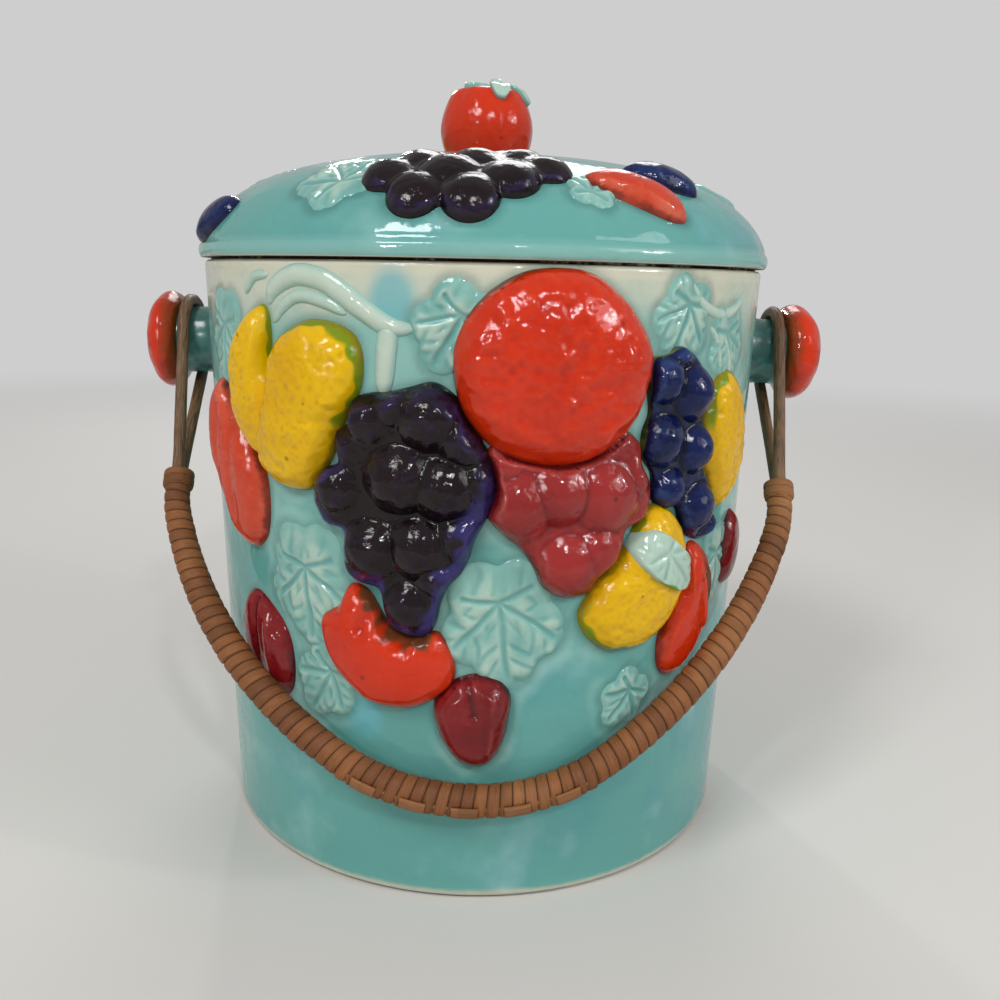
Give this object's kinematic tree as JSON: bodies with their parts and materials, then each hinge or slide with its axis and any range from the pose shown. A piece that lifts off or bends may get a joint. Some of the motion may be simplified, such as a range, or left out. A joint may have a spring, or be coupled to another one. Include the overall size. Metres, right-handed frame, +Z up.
{
  "type": "biscuit jar",
  "caption": "Lidded round earthenware biscuit jar with raised fruit and leaves, a fruit knob and a swinging cane bail on two side lugs.",
  "frame": {"origin": "middle of the foot ring, on the surface the jar stands on", "axes": "+Z up, -Y towards the front, +X to the right of someone facing the front; the lugs lie on X"},
  "size_m": [0.1726, 0.1492, 0.1811],
  "materials": {
    "turquoise_glaze": "gloss crackle-free majolica glaze",
    "orange_glaze": "gloss",
    "yellow_glaze": "gloss, green at the edges",
    "purple_glaze": "gloss",
    "maroon_glaze": "gloss",
    "blue_glaze": "gloss",
    "mint_glaze": "gloss",
    "cane": "round willow or rattan cane, worn satin",
    "split_cane": "flat split cane binding, worn satin"
  },
  "bodies": {
    "jar": {"banana_back": "yellow_glaze", "banana_front": "yellow_glaze", "blackberries_back": "purple_glaze", "blackberries_front": "purple_glaze", "blue_grapes_back": "blue_glaze", "blue_grapes_front": "blue_glaze", "chilli_back": "orange_glaze", "chilli_front": "orange_glaze", "jar_body": "turquoise_glaze", "leaves_back": "mint_glaze", "leaves_front": "mint_glaze", "lemon_high_back": "yellow_glaze", "lemon_high_front": "yellow_glaze", "lemon_leaf_back": "mint_glaze", "lemon_leaf_front": "mint_glaze", "lemon_low_back": "yellow_glaze", "lemon_low_front": "yellow_glaze", "lemon_side_back": "yellow_glaze", "lemon_side_front": "yellow_glaze", "lug_cap_left": "orange_glaze", "lug_cap_right": "orange_glaze", "lug_neck_left": "turquoise_glaze", "lug_neck_right": "turquoise_glaze", "maroon_grapes_back": "maroon_glaze", "maroon_grapes_front": "maroon_glaze", "orange_back": "orange_glaze", "orange_front": "orange_glaze", "pepper_back": "orange_glaze", "pepper_front": "orange_glaze", "plum_left_back": "maroon_glaze", "plum_left_front": "maroon_glaze", "plum_middle_back": "maroon_glaze", "plum_middle_front": "maroon_glaze", "plum_right_back": "maroon_glaze", "plum_right_front": "maroon_glaze", "tomato_back": "orange_glaze", "tomato_front": "orange_glaze", "vines_back": "mint_glaze", "vines_front": "mint_glaze"},
    "lid": {"knob": "orange_glaze", "knob_calyx": "mint_glaze", "lid": "turquoise_glaze", "lid_berries": "purple_glaze", "lid_grapes": "maroon_glaze", "lid_leaves": "mint_glaze", "lid_lemon": "yellow_glaze", "lid_orange": "orange_glaze", "lid_pepper": "orange_glaze", "lid_plum_left": "blue_glaze", "lid_plum_right": "blue_glaze"},
    "bail": {"cane_loop_left": "cane", "cane_loop_right": "cane", "collar_left": "split_cane", "collar_right": "split_cane", "grip_binding": "split_cane", "grip_core": "cane", "grip_rib": "split_cane"}
  },
  "joints": [
    {"name": "lid_lift", "type": "slide", "parent": "jar", "child": "lid", "axis": [0, 0, 1], "range_m": [0, 0.12]},
    {"name": "bail_swing", "type": "hinge", "parent": "jar", "child": "bail", "pos_m": [0, 0, 0.117], "axis": [-1, 0, 0], "range_deg": [0, 283.5]}
  ]
}
